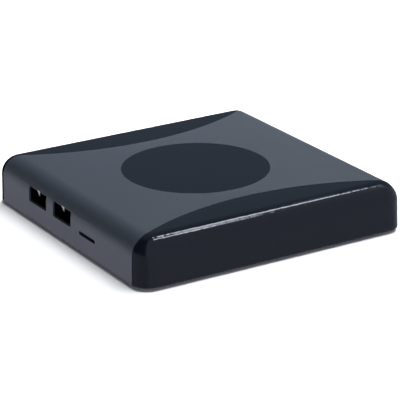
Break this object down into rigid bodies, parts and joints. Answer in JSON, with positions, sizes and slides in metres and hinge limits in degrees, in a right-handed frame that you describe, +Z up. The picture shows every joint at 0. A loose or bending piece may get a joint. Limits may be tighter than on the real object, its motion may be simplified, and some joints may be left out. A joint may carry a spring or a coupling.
{
  "type": "media player",
  "caption": "Low square media player with rounded edges: drafted shell over a bottom cover with feet, circuit board inside, serial sockets and card slot at the side, more sockets behind.",
  "frame": {"origin": "on the table, under the middle of the case", "axes": "+Z up, -Y towards the glossy front, -X towards the side with the serial sockets and card slot, +Y towards the rear sockets"},
  "size_m": [0.11, 0.11, 0.0186],
  "materials": {
    "shell_plastic": "moulded ABS, fine matte top and sides, gloss front",
    "cover_plastic": "moulded ABS, fine spark texture",
    "foot_rubber": "moulded rubber",
    "screw_steel": "zinc plated",
    "board_laminate": "glass laminate under green solder mask",
    "chip_mould": "moulded epoxy",
    "pad_silicone": "filled silicone",
    "sink_aluminium": "extruded, black anodised",
    "can_steel": "stamped, tin plated",
    "can_aluminium": "drawn",
    "coil_ferrite": "pressed ferrite",
    "socket_plastic": "moulded heat resistant plastic",
    "contact_metal": "gold plated",
    "spring_steel": "drawn wire",
    "receiver_resin": "cast dark resin",
    "lamp_resin": "cast clear resin"
  },
  "bodies": {
    "case": {"antenna": "can_steel", "audio_jack_body": "socket_plastic", "audio_jack_contacts": "contact_metal", "board_screws": "screw_steel", "bottom_cover": "cover_plastic", "capacitor_1": "can_aluminium", "capacitor_2": "can_aluminium", "card_contacts": "contact_metal", "card_cover": "can_steel", "card_frame": "socket_plastic", "card_spring": "spring_steel", "case_screws": "screw_steel", "coil_1": "coil_ferrite", "coil_2": "coil_ferrite", "crystal": "can_steel", "flash_chip": "chip_mould", "foot_front_left": "foot_rubber", "foot_front_right": "foot_rubber", "foot_rear_left": "foot_rubber", "foot_rear_right": "foot_rubber", "heat_sink": "sink_aluminium", "ir_receiver": "receiver_resin", "main_board": "board_laminate", "memory_chip_1": "chip_mould", "memory_chip_2": "chip_mould", "network_contacts": "contact_metal", "network_housing": "socket_plastic", "network_transformer": "chip_mould", "power_chip": "chip_mould", "power_jack_body": "socket_plastic", "power_jack_contact": "contact_metal", "power_jack_pin": "contact_metal", "processor": "chip_mould", "radio_board": "board_laminate", "radio_shield": "can_steel", "side_socket_front_contacts": "contact_metal", "side_socket_front_shell": "can_steel", "side_socket_front_tongue": "socket_plastic", "side_socket_rear_contacts": "contact_metal", "side_socket_rear_shell": "can_steel", "side_socket_rear_tongue": "socket_plastic", "status_lamp": "lamp_resin", "switch_base": "socket_plastic", "thermal_pad": "pad_silicone", "upper_shell": "shell_plastic", "video_contacts": "contact_metal", "video_shell": "can_steel", "video_tongue": "socket_plastic"},
    "card_slider": {"card_slider": "socket_plastic"},
    "switch_plunger": {"switch_plunger": "socket_plastic"}
  },
  "joints": [
    {"name": "card_push", "type": "slide", "parent": "case", "child": "card_slider", "axis": [1, 0, 0], "range_m": [0, 0.004], "stiffness_N_per_m": 150, "deforming": ["card_spring"]},
    {"name": "recovery_press", "type": "slide", "parent": "case", "child": "switch_plunger", "axis": [0, -1, 0], "range_m": [0, 0.00025], "stiffness_N_per_m": 400}
  ]
}
